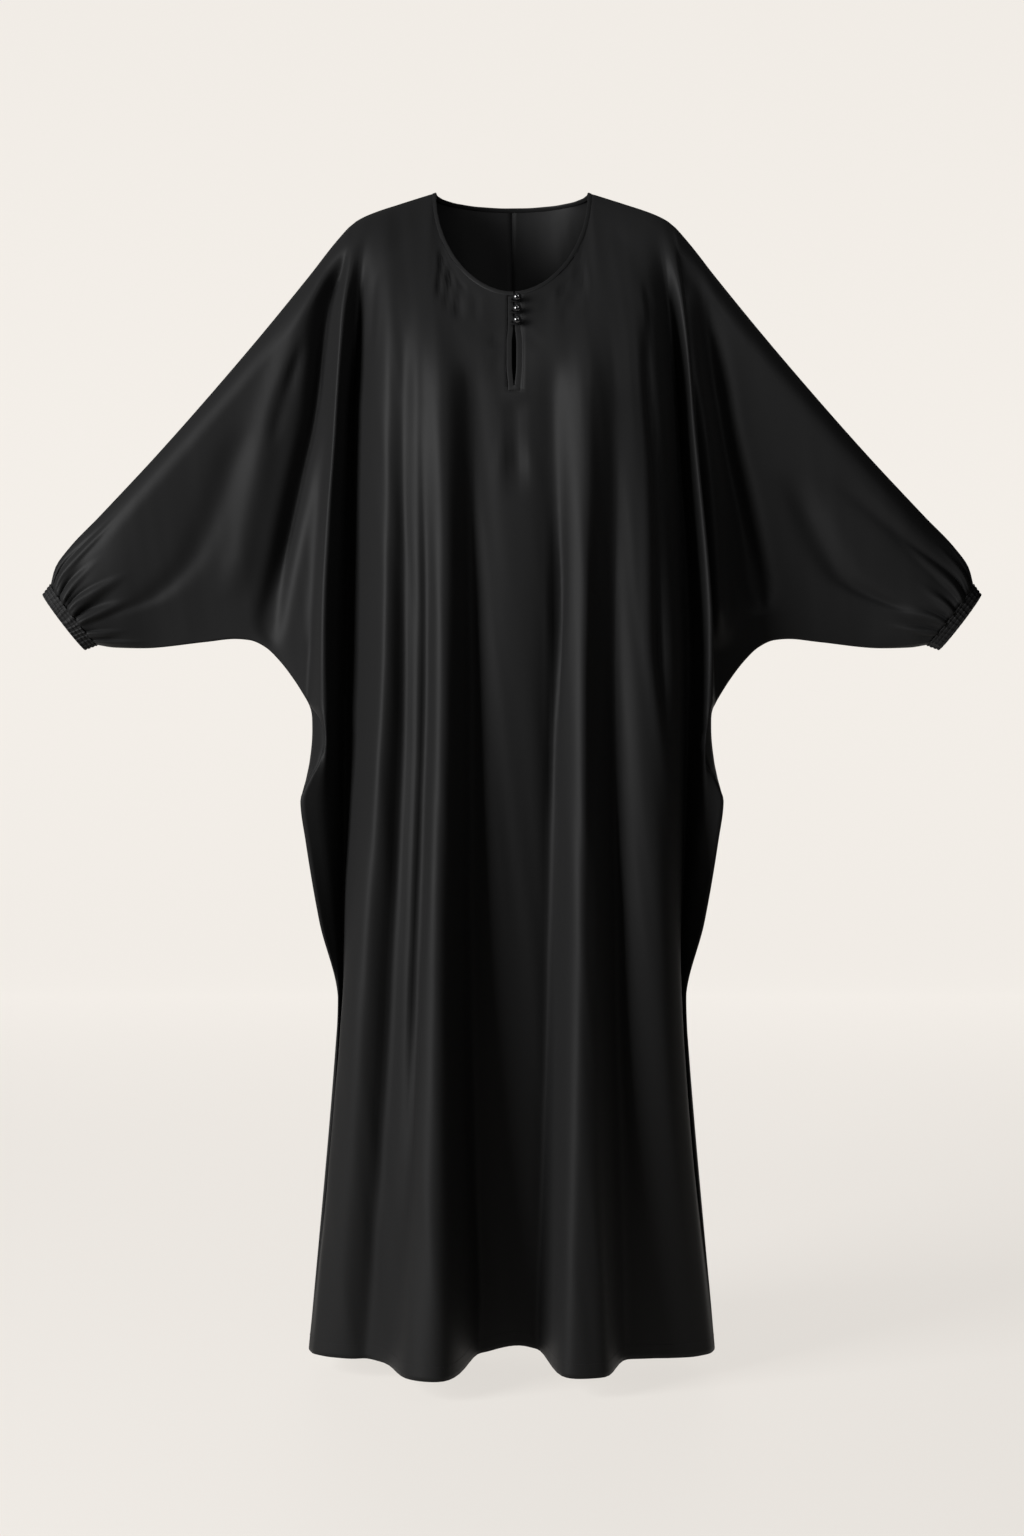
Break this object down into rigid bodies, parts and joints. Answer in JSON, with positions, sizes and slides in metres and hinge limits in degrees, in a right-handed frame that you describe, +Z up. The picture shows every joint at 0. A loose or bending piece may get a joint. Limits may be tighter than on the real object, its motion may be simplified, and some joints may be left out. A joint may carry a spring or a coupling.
{
  "type": "batwing abaya",
  "caption": "Full-length black satin abaya in its worn hollow form, with batwing sleeves, elastic cuffs, a bound round neck and a buttoned front slit.",
  "frame": {"origin": "between the shoulders, 20 mm below the neck points, where the wearer's shoulders carry the cloth", "axes": "+Z up, -Y out of the front, +X to the wearer's left"},
  "size_m": [1.1552, 0.3334, 1.422],
  "materials": {
    "cloth": "satin",
    "cuff": "gathered satin",
    "binding": "satin",
    "button": "polished",
    "loop": "satin cord"
  },
  "bodies": {
    "root": {"front": "cloth", "back_right": "cloth", "back_left": "cloth", "cuff_right": "cuff", "cuff_left": "cuff", "neck_binding": "binding", "slit_binding": "binding", "button_1": "button", "button_2": "button", "button_3": "button", "loop_1": "loop", "loop_2": "loop", "loop_3": "loop"}
  },
  "joints": []
}
